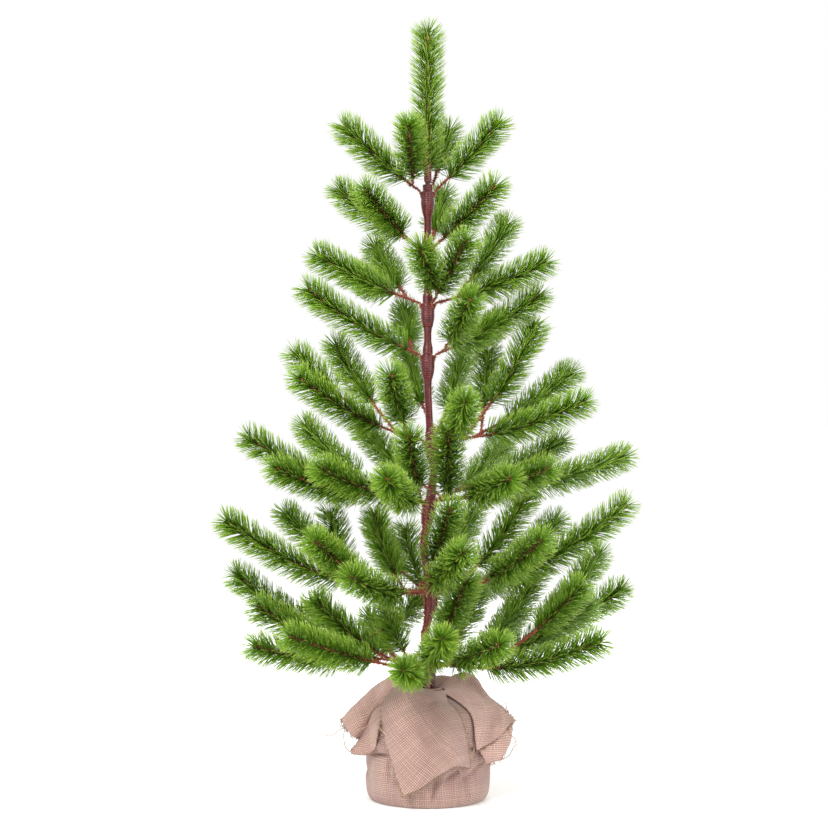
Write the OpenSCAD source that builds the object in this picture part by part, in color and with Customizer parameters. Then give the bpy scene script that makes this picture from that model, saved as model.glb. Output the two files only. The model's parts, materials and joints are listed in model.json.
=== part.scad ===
// Artificial tabletop tree: a taped trunk in a weighted base wrapped in burlap, with wire
// branches that bend at their roots. Each wire carries a brush of plastic needles.
// +Z is up and the origin is the centre of the base's underside. Sizes are in millimetres.

/* [Tree] */
// Height of the leader's tip above the floor
tree_h = 900; // [880:1:940]
// Height at which the trunk ends and the leader begins
trunk_top = 715; // [712:1:725]
// Radius of the trunk's steel core
pole_r = 3; // [2.5:0.1:3.4]
// Radius of the trunk over its tape
tape_r = 4.2; // [4:0.1:4.6]
// Radius of the winding that binds a tier's branch wires
winding_r = 7; // [6:0.1:7.1]
// Length of a winding below its tier
winding_len = 36; // [25:1:40]

/* [Branches] */
// Distance of a branch's root from the trunk's axis
root_r = 9; // [9:0.1:10]
// Radius of a branch's main wire
main_wire_r = 1.5; // [1.2:0.1:1.6]
// Radius of a side wire
side_wire_r = 1.2; // [1:0.1:1.4]
// Radius of the dense part of a needle brush
brush_r = 12; // [8:0.5:12]
// Distance that the needles reach past the end of their wire
brush_reach = 10; // [6:1:12]

/* [Base] */
// Largest radius of the burlap wrap
wrap_r = 73; // [71:1:76]
// Thickness of the burlap
cloth = 1.5; // [1:0.1:2]
// Height of the base pot
pot_h = 92; // [80:1:95]
// Height of the cast weight
weight_h = 52; // [40:1:70]
// Thickness of the pot's wall
pot_wall = 1.6; // [1.2:0.1:2.5]

/* [Hidden] */
$fn = 48;
fit = 0.1; // clearance between a piece and the bore round it
free = 0.3; // clearance between pieces that lie against each other
sides = 24; // sides of the rods and sleeves along the trunk's bent axis
ball_more = 0.2; // how much wider than its wire the ball at a wire's root is
taper = 0.45; // how fast a brush narrows towards its ends, as radius over length
inner_floor = cloth + free + pot_wall + free; // height that the weight stands at
leader_bare = 22; // length of the leader's wire below its needles
neck_r = 14; // radius of the burlap's neck, where the twine draws it in
neck_z = 124; // height of the neck

// The trunk's axis, as [x, z] from the weight to the leader
TRUNK = [
    [0, 20], [0, 155], [-4, 185], [4, 224], [2, 240], [-5, 292], [3, 345],
    [8, 386], [3, 415], [0, 475], [0, trunk_top]
];

// Height of each tier's branch roots, from the top tier to the bottom one
TIERS = [705, 640, 575, 515, 415, 345, 240, 155];

// Fields of a branch: its name, its tier, its main wire and its side wires
NAME = 0;
TIER = 1;
MAIN = 2;
SIDES = 3;
// Fields of a main wire, and of a side wire, which has its place along the main wire last.
// Turn is the heading round +Z from +X, rise is the slope above level, both in degrees.
TURN = 0;
RISE = 1;
BARE = 2;
BRUSH = 3;
AT = 4;
BRANCHES = [
    ["1a", 0, [185, 40, 30, 85], [[265, 45, 20, 65, 10]]],
    ["1b", 0, [345, 45, 30, 75], []],
    ["1c", 0, [70, 50, 45, 60], [[115, 55, 35, 60, 10]]],
    ["2a", 1, [165, 35, 35, 85], [[235, 30, 25, 75, 15]]],
    ["2b", 1, [320, 35, 25, 85], []],
    ["2c", 1, [80, 35, 55, 75], []],
    ["3a", 2, [180, 25, 40, 90], [[115, 35, 35, 80, 15], [120, 15, 50, 75, 25]]],
    ["3b", 2, [305, 45, 25, 70], [[255, 30, 20, 70, 15]]],
    ["3c", 2, [355, 20, 40, 95], [[45, 45, 45, 80, 25]]],
    ["4a", 3, [185, 30, 25, 125], [[95, 25, 45, 80, 10]]],
    ["4b", 3, [5, 30, 30, 110], [[285, 25, 40, 85, 10], [60, 15, 55, 80, 20]]],
    ["5a", 4, [205, 25, 65, 105], [[260, 30, 45, 85, 20], [130, 40, 65, 90, 35], [160, 35, 85, 50, 55]]],
    ["5b", 4, [350, 15, 65, 110],
        [[275, 15, 75, 80, 15], [15, 55, 60, 95, 30], [35, 25, 65, 100, 40],
        [80, 50, 50, 70, 50]]],
    ["5c", 4, [75, 35, 105, 85], [[105, 35, 85, 85, 20]]],
    ["6a", 5, [180, 20, 85, 130], [[135, 25, 85, 95, 30], [205, 10, 40, 100, 45]]],
    ["6b", 5, [255, 10, 90, 90], [[260, 40, 35, 75, 30], [210, 15, 45, 90, 30]]],
    ["6c", 5, [325, 15, 55, 100], [[295, 10, 40, 90, 30], [270, 40, 25, 95, 15], [30, 10, 135, 110, 25]]],
    ["6d", 5, [60, 20, 95, 90], [[125, 25, 100, 90, 20], [25, 20, 65, 95, 40]]],
    ["7a", 6, [185, 20, 120, 120],
        [[235, 20, 80, 85, 30], [145, 25, 75, 95, 40], [160, 65, 25, 65, 20],
        [140, 55, 15, 60, 80]]],
    ["7b", 6, [240, 10, 65, 100], [[290, 45, 65, 75, 15], [290, 20, 60, 95, 20]]],
    ["7c", 6, [355, 25, 125, 115],
        [[35, 25, 45, 95, 45], [305, 20, 85, 90, 20], [25, 45, 50, 95, 15]]],
    ["7d", 6, [110, 20, 110, 90], [[65, 25, 95, 85, 25], [45, 0, 95, 90, 20], [130, 65, 15, 55, 15]]],
    ["8a", 7, [185, 20, 105, 95],
        [[195, 35, 30, 85, 30], [165, 25, 105, 95, 45], [200, 5, 65, 95, 40],
        [105, 10, 85, 85, 20], [130, 15, 95, 85, 25], [185, 65, 25, 50, 10],
        [35, 25, 55, 80, 85]]],
    ["8b", 7, [260, 5, 65, 80],
        [[210, 15, 75, 95, 45], [280, 20, 55, 80, 35], [305, 15, 70, 80, 30], [295, 45, 80, 70, 10]]],
    ["8c", 7, [340, 10, 75, 125],
        [[0, 25, 55, 95, 45], [20, 20, 125, 95, 30], [90, 10, 105, 85, 20], [60, 15, 85, 85, 25],
        [45, 55, 45, 55, 10], [40, 40, 50, 95, 40], [50, 25, 140, 110, 65],
        [335, 35, 100, 50, 55]]]
];

// The burlap's folded corners, as [heading, section seen from the side, outline seen from the
// front]. A section runs out along the heading and up, and an outline runs across it and up.
FRONT_SECTION = [
    [18, 132], [58, 132], [79, 112], [79, 15], [76, 15], [76, 111], [57, 129], [18, 129]
];
FRONT_OUTLINE = [
    [-48, 140], [-52, 100], [-43, 45], [-28, 18], [5, 34], [28, 46], [47, 47], [42, 85], [26, 140]
];
SIDE_SECTION = [
    [18, 132], [52, 132], [100, 88], [90, 50], [87, 50], [96, 87], [51, 129], [18, 129]
];
SIDE_OUTLINE = [[-40, 140], [-44, 90], [-12, 44], [18, 50], [44, 86], [40, 140]];
CORNERS = [
    [270, FRONT_SECTION, FRONT_OUTLINE],
    [180, SIDE_SECTION, SIDE_OUTLINE],
    [0, SIDE_SECTION, SIDE_OUTLINE],
    [90, FRONT_SECTION, SIDE_OUTLINE]
];

function wires_name(b) = str("branch_", b[NAME], "_wires");
function needles_name(b) = str("branch_", b[NAME], "_needles");

STATIC = [
    "base_weight", "base_pot", "burlap_wrap", "burlap_corners", "neck_tie",
    "trunk_pole", "trunk_tape", "tier_windings", "leader_wire", "leader_needles"
];

// Where the trunk's axis is at a height, by straight lines between its points
function trunk_x(z) = lookup(z, [for (p = TRUNK) [p[1], p[0]]]);

// The trunk's points from one height to another, both ends included
function trunk_between(low, high) = concat(
    [[trunk_x(low), low]],
    [for (p = TRUNK) if (p[1] > low && p[1] < high) p],
    [[trunk_x(high), high]]
);

function heading(turn, rise) = [cos(rise) * cos(turn), cos(rise) * sin(turn), sin(rise)];

// How far along itself a side wire starts, so that its end clears the main wire
function side_start(main, side) =
    let (lean = heading(main[TURN], main[RISE]) * heading(side[TURN], side[RISE]))
    (main_wire_r + fit + side_wire_r * abs(lean)) / sqrt(1 - lean * lean);

// A ring of corners round the trunk's axis at one of its points, and the faces from ring a to ring b
function ring(point, r) = [
    for (i = [0:sides - 1])
        [point[0] + r * cos(360 * i / sides), r * sin(360 * i / sides), point[1]]
];
function belt(a, b) = [
    for (i = [0:sides - 1])
        let (next = (i + 1) % sides)
            [a * sides + i, b * sides + i, b * sides + next, a * sides + next]
];

// A solid rod along the trunk's axis
module trunk_rod(points, r) {
    top = len(points) - 1;
    polyhedron(
        points = [for (p = points) each ring(p, r)],
        faces = [
            [for (i = [0:sides - 1]) i],
            for (i = [0:top - 1]) each belt(i, i + 1),
            [for (i = [sides - 1:-1:0]) top * sides + i]
        ]
    );
}

// A sleeve round the trunk's axis, whose outside goes from low_r to high_r
module trunk_sleeve(points, low_r, high_r, bore_r) {
    top = len(points) - 1;
    low = points[0][1];
    slope = (high_r - low_r) / (points[top][1] - low);
    rings = concat(
        [for (p = points) ring(p, low_r + slope * (p[1] - low))],
        [for (i = [top:-1:0]) ring(points[i], bore_r)]
    );
    polyhedron(
        points = [for (r = rings) each r],
        faces = [for (i = [0:len(rings) - 1]) each belt(i, (i + 1) % len(rings))]
    );
}

// Puts its children at a branch's root, or turns them along a wire
module at_root(b) {
    z = TIERS[b[TIER]];
    translate([trunk_x(z), 0, z] + root_r * heading(b[MAIN][TURN], 0)) children();
}

module along(wire) {
    rotate([0, 90 - wire[RISE], wire[TURN]]) children();
}

// A brush of needles from z = 0, open along its middle for the wire
module brush(length, wire_r) {
    start_r = 3;
    swell = (brush_r - start_r) / taper;
    tip = 8;
    tip_r = brush_r - taper * (tip + brush_reach);
    rotate_extrude()
        polygon([
            [wire_r + fit, 0], [start_r, 0], [brush_r, swell], [brush_r, length - tip],
            [tip_r, length + brush_reach], [wire_r + fit, length + brush_reach]
        ]);
}

module base_weight() {
    bottom_r = 55;
    top_r = 58;
    color("darkgray")
        difference() {
            translate([0, 0, inner_floor]) cylinder(h = weight_h, r1 = bottom_r, r2 = top_r);
            translate([0, 0, TRUNK[0][1]]) cylinder(h = weight_h, r = pole_r + fit);
        }
}

module base_pot() {
    bottom_r = 58;
    top_r = 64;
    color("dimgray")
        translate([0, 0, cloth + free])
            difference() {
                cylinder(h = pot_h, r1 = bottom_r, r2 = top_r);
                translate([0, 0, pot_wall])
                    cylinder(h = pot_h, r1 = bottom_r - pot_wall, r2 = top_r - pot_wall);
            }
}

module burlap_wrap() {
    outside = [
        [64, 0], [70, 9], [wrap_r, 26], [wrap_r, 62], [71, 84], [63, 104], [40, 116],
        [16, 121], [neck_r, neck_z], [17, 128]
    ];
    inside = [
        [15.5, 128], [neck_r - cloth, neck_z], [15, 119.4], [39.5, 114.4], [62, 102.8], [69.4, 83.6],
        [wrap_r - cloth, 62], [wrap_r - cloth, 26.4], [68.7, 9.6], [63, cloth]
    ];
    color("tan") rotate_extrude() polygon(concat([[0, 0]], outside, inside, [[0, cloth]]));
}

module burlap_corners() {
    reach = 110; // beyond the outermost point of every corner
    above = 140; // above the top of every corner
    gap = 2; // how far each corner's quarter starts from the axis
    color("burlywood")
        for (c = CORNERS)
            rotate(c[0])
                intersection() {
                    rotate([90, 0, 0])
                        linear_extrude(height = 2 * reach, center = true) polygon(c[1]);
                    rotate([90, 0, 90]) linear_extrude(height = reach) polygon(c[2]);
                    linear_extrude(height = above)
                        polygon([[gap, 0], [reach + gap, -reach], [reach + gap, reach]]);
                }
}

module neck_tie() {
    twine_r = 1.6;
    color("peru")
        translate([0, 0, neck_z])
            rotate_extrude() translate([neck_r + twine_r + 2 * free, 0]) circle(r = twine_r);
}

module trunk_pole() {
    color("gray") trunk_rod(trunk_between(TRUNK[0][1] + free, trunk_top), pole_r);
}

module trunk_tape() {
    low = inner_floor + weight_h + free;
    bare_top = 2;
    color("brown")
        trunk_sleeve(trunk_between(low, trunk_top - bare_top), tape_r, tape_r, pole_r + fit);
}

module tier_windings() {
    thinnest = 0.8;
    color("sienna")
        for (z = TIERS)
            trunk_sleeve(
                trunk_between(z - winding_len, z), tape_r + thinnest, winding_r, tape_r + fit
            );
}

module leader_wire() {
    ball_r = main_wire_r + ball_more;
    root = trunk_top + free + ball_r;
    color("saddlebrown")
        translate([0, 0, root]) {
            sphere(r = ball_r);
            cylinder(h = tree_h - brush_reach - root, r = main_wire_r);
        }
}

module leader_needles() {
    low = trunk_top + leader_bare;
    color("forestgreen")
        translate([0, 0, low]) brush(tree_h - brush_reach - low, main_wire_r);
}

module branch_wires(b) {
    main = b[MAIN];
    color("saddlebrown")
        at_root(b) {
            along(main) {
                sphere(r = main_wire_r + ball_more);
                cylinder(h = main[BARE] + main[BRUSH], r = main_wire_r);
            }
            for (side = b[SIDES]) {
                start = side_start(main, side);
                translate(side[AT] * heading(main[TURN], main[RISE]))
                    along(side)
                        translate([0, 0, start])
                            cylinder(h = side[BARE] + side[BRUSH] - start, r = side_wire_r);
            }
        }
}

module branch_needles(b) {
    main = b[MAIN];
    color("forestgreen")
        at_root(b) {
            along(main) translate([0, 0, main[BARE]]) brush(main[BRUSH], main_wire_r);
            for (side = b[SIDES])
                translate(side[AT] * heading(main[TURN], main[RISE]))
                    along(side) translate([0, 0, side[BARE]]) brush(side[BRUSH], side_wire_r);
        }
}

base_weight();
base_pot();
burlap_wrap();
burlap_corners();
neck_tie();
trunk_pole();
trunk_tape();
tier_windings();
leader_wire();
leader_needles();
for (b = BRANCHES) {
    branch_wires(b);
    branch_needles(b);
}
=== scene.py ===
"""Artificial tabletop tree: brushes of needles on twisted wires, round a taped trunk in burlap."""
import json
import math

import bpy
import numpy as np
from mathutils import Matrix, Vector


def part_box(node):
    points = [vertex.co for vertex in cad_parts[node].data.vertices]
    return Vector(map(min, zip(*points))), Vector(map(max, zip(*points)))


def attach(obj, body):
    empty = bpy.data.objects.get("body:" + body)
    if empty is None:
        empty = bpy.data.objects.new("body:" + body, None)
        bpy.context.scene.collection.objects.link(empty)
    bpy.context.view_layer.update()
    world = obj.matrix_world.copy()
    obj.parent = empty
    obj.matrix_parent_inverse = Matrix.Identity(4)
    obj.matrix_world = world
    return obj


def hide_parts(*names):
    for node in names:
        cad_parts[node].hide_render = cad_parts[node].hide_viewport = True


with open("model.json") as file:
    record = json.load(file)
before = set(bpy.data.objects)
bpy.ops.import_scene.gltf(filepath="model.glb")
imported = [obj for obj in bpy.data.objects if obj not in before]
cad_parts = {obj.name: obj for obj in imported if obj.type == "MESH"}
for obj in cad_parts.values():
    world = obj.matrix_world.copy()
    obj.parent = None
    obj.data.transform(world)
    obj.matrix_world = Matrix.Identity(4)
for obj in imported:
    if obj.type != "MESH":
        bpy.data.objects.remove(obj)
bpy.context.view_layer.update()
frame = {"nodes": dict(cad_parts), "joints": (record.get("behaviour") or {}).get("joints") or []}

MM = 0.001
SHADES = 16  # shades of colour that strands in one piece are given
BAKED_UV = "OFBake"
UP = np.array([0.0, 0.0, 1.0])


# ---------------------------------------------------------------- camera, light and floor

CAMERA_PLACE = (-0.016, -2.2, 0.446)
LENS_MM, SENSOR_MM = 82.2, 36
LIT_POINT = (0, 0, 0.45)  # the point that the lights face, halfway up the tree
# Each light's name, place, size in metres and power in watts
LIGHTS = [
    ("key_light", (-1.0, -1.75, 2.3), 1.2, 62),
    ("fill_light", (1.7, -1.5, 1.4), 1.6, 17),
    ("back_light", (0.6, 2.0, 1.6), 1.6, 22),
]
FLOOR_HALF = 60.0  # half the floor's width, in metres
FLOOR_WHITE, FLOOR_GLOW = 0.96, 0.06


def make_camera():
    """A level camera in front of the tree."""
    data = bpy.data.cameras.new("camera")
    data.lens = LENS_MM
    data.sensor_width = SENSOR_MM
    camera = bpy.data.objects.new("camera", data)
    camera.location = CAMERA_PLACE
    camera.rotation_euler = (math.pi / 2, 0, 0)
    bpy.context.scene.collection.objects.link(camera)
    bpy.context.scene.camera = camera


def soft_light(name, place, size, watts):
    """A square light that faces the tree."""
    data = bpy.data.lights.new(name, "AREA")
    data.size = size
    data.energy = watts
    light = bpy.data.objects.new(name, data)
    light.location = place
    x, y, z = np.array(place) - np.array(LIT_POINT)
    light.rotation_euler = (math.atan2(math.hypot(x, y), z), 0, math.atan2(x, -y))
    bpy.context.scene.collection.objects.link(light)


def make_world():
    """An even white light from all round."""
    world = bpy.data.worlds.new("studio")
    world.use_nodes = True
    background = world.node_tree.nodes["Background"]
    background.inputs["Color"].default_value = (1, 1, 1, 1)
    background.inputs["Strength"].default_value = 1.0
    bpy.context.scene.world = world
    bpy.context.scene.view_settings.view_transform = "Standard"


def make_floor():
    """A wide white floor, a little brightened so that it meets the white behind it."""
    mesh = bpy.data.meshes.new("floor")
    corners = [(x * FLOOR_HALF, y * FLOOR_HALF, 0) for x, y in ((-1, -1), (1, -1), (1, 1), (-1, 1))]
    mesh.from_pydata(corners, [], [(0, 1, 2, 3)])
    floor = bpy.data.objects.new("floor", mesh)
    bpy.context.scene.collection.objects.link(floor)
    paint = bpy.data.materials.new("pale_floor")
    paint.use_nodes = True
    shader = paint.node_tree.nodes["Principled BSDF"]
    shader.inputs["Base Color"].default_value = (FLOOR_WHITE, FLOOR_WHITE, FLOOR_WHITE, 1)
    shader.inputs["Roughness"].default_value = 0.8
    shader.inputs["Emission Color"].default_value = (1, 1, 1, 1)
    shader.inputs["Emission Strength"].default_value = FLOOR_GLOW
    mesh.materials.append(paint)


# ---------------------------------------------------------------- meshes

class Shape:
    """Vertices, faces and face-corner UVs gathered for one mesh."""

    def __init__(self):
        self.vertices, self.faces, self.uvs = [], [], []
        self.count = 0

    def add(self, vertices, faces, uvs):
        """faces and uvs are lists of arrays, (faces, corners) and (faces, corners, 2)."""
        self.vertices.append(vertices)
        self.faces += [f + self.count for f in faces]
        self.uvs += uvs
        self.count += len(vertices)

    def mesh(self, name, smooth=True):
        vertices = np.concatenate(self.vertices).astype(np.float32)
        corners = np.concatenate([f.ravel() for f in self.faces]).astype(np.int32)
        sizes = np.concatenate([np.full(len(f), f.shape[1]) for f in self.faces])
        starts = np.concatenate([[0], np.cumsum(sizes)[:-1]]).astype(np.int32)
        mesh = bpy.data.meshes.new(name)
        mesh.vertices.add(len(vertices))
        mesh.vertices.foreach_set("co", vertices.ravel())
        mesh.loops.add(len(corners))
        mesh.loops.foreach_set("vertex_index", corners)
        mesh.polygons.add(len(sizes))
        mesh.polygons.foreach_set("loop_start", starts)
        mesh.polygons.foreach_set("use_smooth", np.full(len(sizes), smooth))
        layer = mesh.uv_layers.new(name=BAKED_UV)
        mesh.update(calc_edges=True)
        uvs = np.concatenate([u.reshape(-1, 2) for u in self.uvs]).astype(np.float32)
        layer.data.foreach_set("uv", uvs.ravel())
        return mesh


def piece(name, mesh, material, body, replaces=()):
    """Puts a mesh in the scene as a piece that rides on a body and stands for nodes of the frame."""
    made = bpy.data.objects.new(name, mesh)
    bpy.context.scene.collection.objects.link(made)
    mesh.materials.append(material)
    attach(made, body)
    if replaces:
        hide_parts(*replaces)
    return made


def unit(v):
    """Vectors scaled to a length of 1."""
    return v / np.linalg.norm(v, axis=-1, keepdims=True)


def square_to(direction):
    """Two directions at right angles to each given direction and to each other."""
    helper = np.where(np.abs(direction[..., 2:3]) > 0.9, [1.0, 0.0, 0.0], UP)
    first = unit(np.cross(direction, helper))
    return first, np.cross(direction, first)


def add_strands(shape, base, direction, length, radius, bend, shade, rings=(0.0, 0.85), taper=0.3):
    """Adds many tapered strands, each ending in a point. rings are the places along a strand, from 0
    to 1, that have a ring of corners. bend is how far its tip is moved, shade is a whole number
    below SHADES, and taper is how much of its radius it would lose by its tip."""
    count, sides = len(base), 3
    first, second = square_to(direction)
    angle = 2 * math.pi * np.arange(sides) / sides
    loops = []
    for t in rings:
        centre = base + direction * (length * t)[:, None] + bend * t * t
        size = (radius * (1 - taper * t))[:, None, None]
        spokes = first[:, None] * np.cos(angle)[:, None] + second[:, None] * np.sin(angle)[:, None]
        loops.append(centre[:, None] + size * spokes)
    tip = (base + direction * length[:, None] + bend)[:, None]
    vertices = np.concatenate(loops + [tip], axis=1)
    per = sides * len(rings) + 1
    start = (np.arange(count) * per)[:, None]
    left = shade / SHADES
    right = left + 0.9 / SHADES
    middle = (left + right) / 2
    faces, uvs = [start + np.arange(sides - 1, -1, -1)], []
    flat = np.zeros((count, sides, 2))
    flat[..., 0] = np.stack([left, right, middle], axis=1)
    uvs.append(flat)
    for ring, low in enumerate(rings):
        last = ring == len(rings) - 1
        high = 1.0 if last else rings[ring + 1]
        for i in range(sides):
            a = ring * sides + i
            b = ring * sides + (i + 1) % sides
            if last:
                faces.append(start + np.array([a, b, per - 1]))
                spots = [(left, low), (right, low), (middle, high)]
            else:
                faces.append(start + np.array([a, b, b + sides, a + sides]))
                spots = [(left, low), (right, low), (right, high), (left, high)]
            uvs.append(np.stack([np.stack([u, np.full(count, v)], axis=1) for u, v in spots], axis=1))
    shape.add(vertices.reshape(-1, 3), faces, uvs)


def add_tube(shape, points, radii, sides=8, shade=0):
    """Adds a closed tube along points. radii is one per point, or (points, sides). Its colours start
    at shade and go one shade further round it."""
    points = np.asarray(points, float)
    rows = len(points)
    tangent = unit(np.gradient(points, axis=0))
    first = np.empty_like(points)
    helper = [1.0, 0.0, 0.0] if abs(tangent[0][2]) > 0.9 else UP
    first[0] = unit(np.cross(tangent[0], helper))
    for i in range(1, rows):
        first[i] = unit(first[i - 1] - tangent[i] * np.dot(first[i - 1], tangent[i]))
    second = np.cross(tangent, first)
    angle = 2 * math.pi * np.arange(sides) / sides
    radii = np.broadcast_to(np.reshape(radii, (len(radii), -1)), (rows, sides))
    spokes = first[:, None] * np.cos(angle)[:, None] + second[:, None] * np.sin(angle)[:, None]
    vertices = (points[:, None] + spokes * radii[..., None]).reshape(-1, 3)
    row = (np.arange(rows - 1) * sides)[:, None]
    side = np.arange(sides)
    a, b = row + side, row + (side + 1) % sides
    faces = np.stack([a, b, b + sides, a + sides], axis=-1).reshape(-1, 4)
    along = np.linspace(0, 1, rows)
    left = (shade + side / sides) / SHADES
    right = (shade + (side + 1) / sides) / SHADES
    uv = np.empty((rows - 1, sides, 4, 2))
    uv[..., 0] = np.stack([left, right, right, left], axis=-1)
    uv[..., 1] = np.stack([along[:-1], along[:-1], along[1:], along[1:]], axis=-1)[:, None]
    ends = np.stack([np.arange(sides)[::-1], (rows - 1) * sides + np.arange(sides)])
    cap = np.zeros((2, sides, 2))
    cap[..., 0] = (shade + 0.5) / SHADES
    cap[1, :, 1] = 1
    shape.add(vertices, [faces, ends], [uv.reshape(-1, 4, 2), cap])


# ---------------------------------------------------------------- what the frame says

def solids(node):
    """The vertices of each separate solid of a node, in metres."""
    mesh = frame["nodes"][node].data
    co = np.array([v.co for v in mesh.vertices])
    spots, same = np.unique(np.round(co, 6), axis=0, return_inverse=True)
    same = same.ravel()
    group = np.arange(len(spots))
    edges = same[np.array([tuple(e.vertices) for e in mesh.edges])]
    while True:
        low = np.minimum(group[edges[:, 0]], group[edges[:, 1]])
        fresh = group.copy()
        np.minimum.at(fresh, edges[:, 0], low)
        np.minimum.at(fresh, edges[:, 1], low)
        fresh = fresh[fresh]
        if (fresh == group).all():
            break
        group = fresh
    return [spots[group == g] for g in np.unique(group)]


def ends_of(solid):
    """The middles of the two ends of a long round solid."""
    centre = solid.mean(axis=0)
    axis = np.linalg.svd(solid - centre, full_matrices=False)[2][0]
    along = (solid - centre) @ axis
    half = (along.max() + along.min()) / 2
    return solid[along > half].mean(axis=0), solid[along < half].mean(axis=0)


SAGS = ([0.1, 0.22], [0.008, 0.085])  # wire lengths, and how far each sags as a share of its length
SIDE_SAG = 0.8  # a side wire's sag, as a share of its main wire's
LEADER_THICK = 4.4 * MM


class Wire:
    """One wire of a branch. It sags below the straight line from its start to its end, and its start
    is shifted to stay on the sagging wire that it is twisted onto."""

    def __init__(self, start, end, thick, sag):
        self.start, self.end, self.thick = start, end, thick
        self.length = np.linalg.norm(end - start)
        self.heading = (end - start) / self.length
        self.first, self.second = square_to(self.heading)
        self.bare = self.length
        down = self.heading * self.heading[2] - UP
        self.sag = unit(down) * sag * self.length
        self.shift = np.zeros(3)

    def at(self, s):
        """Points on the wire's middle line at distances s from its start."""
        u = (s / self.length)[:, None]
        straight = self.start + self.heading * s[:, None]
        return straight + self.sag * np.sin(math.pi * u) + self.shift * (1 - u) ** 2

    def along(self, s):
        """The wire's directions at distances s from its start."""
        return unit(self.at(s + MM) - self.at(s - MM))

    def spokes(self, s, angle):
        """Directions square to the wire at distances s, turned round it by angles."""
        out = self.first * np.cos(angle)[:, None] + self.second * np.sin(angle)[:, None]
        ahead = self.along(s)
        return unit(out - ahead * np.sum(out * ahead, axis=1)[:, None])


def wires_of(body, root):
    """The wires of a body, each with the distance at which its needles start."""
    rods = []
    for solid in solids(body + "_wire" if body == "leader" else body + "_wires"):
        a, b = ends_of(solid)
        if np.linalg.norm(a - root) > np.linalg.norm(b - root):
            a, b = b, a
        rods.append((a, b, 2 * np.linalg.norm(solid - a, axis=1).min()))
    rods.sort(key=lambda rod: np.linalg.norm(rod[0] - root))
    span = np.linalg.norm(rods[0][1] - root)
    sag = 0 if body == "leader" else np.interp(span, *SAGS)
    main = Wire(root, rods[0][1], LEADER_THICK if body == "leader" else rods[0][2], sag)
    found = [main]
    for start, end, thick in rods[1:]:
        side = Wire(start, end, thick, SIDE_SAG * sag)
        fork = np.array([(start - main.start) @ main.heading])
        side.shift = main.at(fork)[0] - (main.start + main.heading * fork)
        found.append(side)
    for brush in solids(body + "_needles"):
        middle = brush.mean(axis=0)
        wire = min(found, key=lambda w: np.linalg.norm(np.cross(middle - w.start, w.heading)))
        wire.bare = ((brush - wire.start) @ wire.heading).min()
    return found


# ---------------------------------------------------------------- materials

def new_material(name, roughness, **more):
    """A material, with the values that are the same all over it set on its shader."""
    made = bpy.data.materials.new(name)
    made.use_nodes = True
    shader = made.node_tree.nodes["Principled BSDF"]
    shader.inputs["Roughness"].default_value = roughness
    for socket, value in more.items():
        shader.inputs[socket.replace("_", " ")].default_value = value
    return made, made.node_tree, shader


def add_node(tree, kind, **settings):
    """A shader node of a kind, with its settings made."""
    node = tree.nodes.new("ShaderNode" + kind)
    for key, value in settings.items():
        setattr(node, key, value)
    return node


def ramp(tree, source, stops, interpolation="LINEAR"):
    """A colour ramp from (place, colour) stops, driven by a socket."""
    node = add_node(tree, "ValToRGB")
    node.color_ramp.interpolation = interpolation
    elements = node.color_ramp.elements
    while len(elements) < len(stops):
        elements.new(0.5)
    for element, (place, colour) in zip(elements, stops):
        element.position = place
        element.color = (*colour, 1)
    tree.links.new(source, node.inputs["Fac"])
    return node.outputs["Color"]


def multiply(tree, a, b):
    """One colour multiplied by another."""
    node = add_node(tree, "Mix", data_type="RGBA", blend_type="MULTIPLY")
    node.inputs["Factor"].default_value = 1.0
    tree.links.new(a, node.inputs["A"])
    tree.links.new(b, node.inputs["B"])
    return node.outputs["Result"]


def math_node(tree, operation, a, b=None):
    """The result of an operation on one or two sockets or numbers."""
    node = add_node(tree, "Math", operation=operation)
    for socket, value in zip(node.inputs, (a, b)):
        if isinstance(value, (int, float)):
            socket.default_value = value
        elif value is not None:
            tree.links.new(value, socket)
    return node.outputs["Value"]


def strand_material(name, along, shades, roughness, **more):
    """A material whose colour runs from a strand's base to its tip, multiplied by its own shade."""
    made, tree, shader = new_material(name, roughness, **more)
    uv = add_node(tree, "UVMap", uv_map=BAKED_UV)
    split = add_node(tree, "SeparateXYZ")
    tree.links.new(uv.outputs["UV"], split.inputs["Vector"])
    length_colour = ramp(tree, split.outputs["Y"], along)
    shade_colour = ramp(tree, split.outputs["X"], shades)
    colour = multiply(tree, length_colour, shade_colour)
    tree.links.new(colour, shader.inputs["Base Color"])
    return made


def needle_plastic():
    """Green plastic that is brown where it leaves the wire and pale at its tip."""
    return strand_material(
        "needle_plastic",
        [
            (0.0, (0.15, 0.055, 0.02)), (0.07, (0.15, 0.11, 0.02)), (0.13, (0.155, 0.34, 0.016)),
            (0.5, (0.195, 0.38, 0.022)), (0.8, (0.29, 0.48, 0.04)), (1.0, (0.47, 0.62, 0.12))
        ],
        [
            (0.0, (0.62, 0.72, 0.72)), (0.35, (0.88, 0.93, 0.9)), (0.7, (1, 1, 1)),
            (1.0, (1.0, 0.93, 0.75))
        ],
        0.4,
        Specular_IOR_Level=0.4,
    )


def wire_plastic():
    """Rust-red plastic of barbs and twisted wires. The shades used for barbs among needles are darker
    and olive-brown: painted shade of the brush round them, tinted green.
    """
    return strand_material(
        "wire_plastic",
        [(0.0, (0.27, 0.06, 0.032)), (0.7, (0.40, 0.11, 0.055)), (1.0, (0.58, 0.24, 0.12))],
        # The stops up to 0.2 darken the barbs among needles and turn them greener: painted shade.
        [
            (0.0, (0.22, 0.62, 0.30)), (0.2, (0.30, 0.66, 0.34)), (0.26, (0.75, 0.75, 0.75)),
            (1.0, (1, 1, 0.9))
        ],
        0.5,
        Specular_IOR_Level=0.3,
    )


# ---------------------------------------------------------------- the tree

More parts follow.
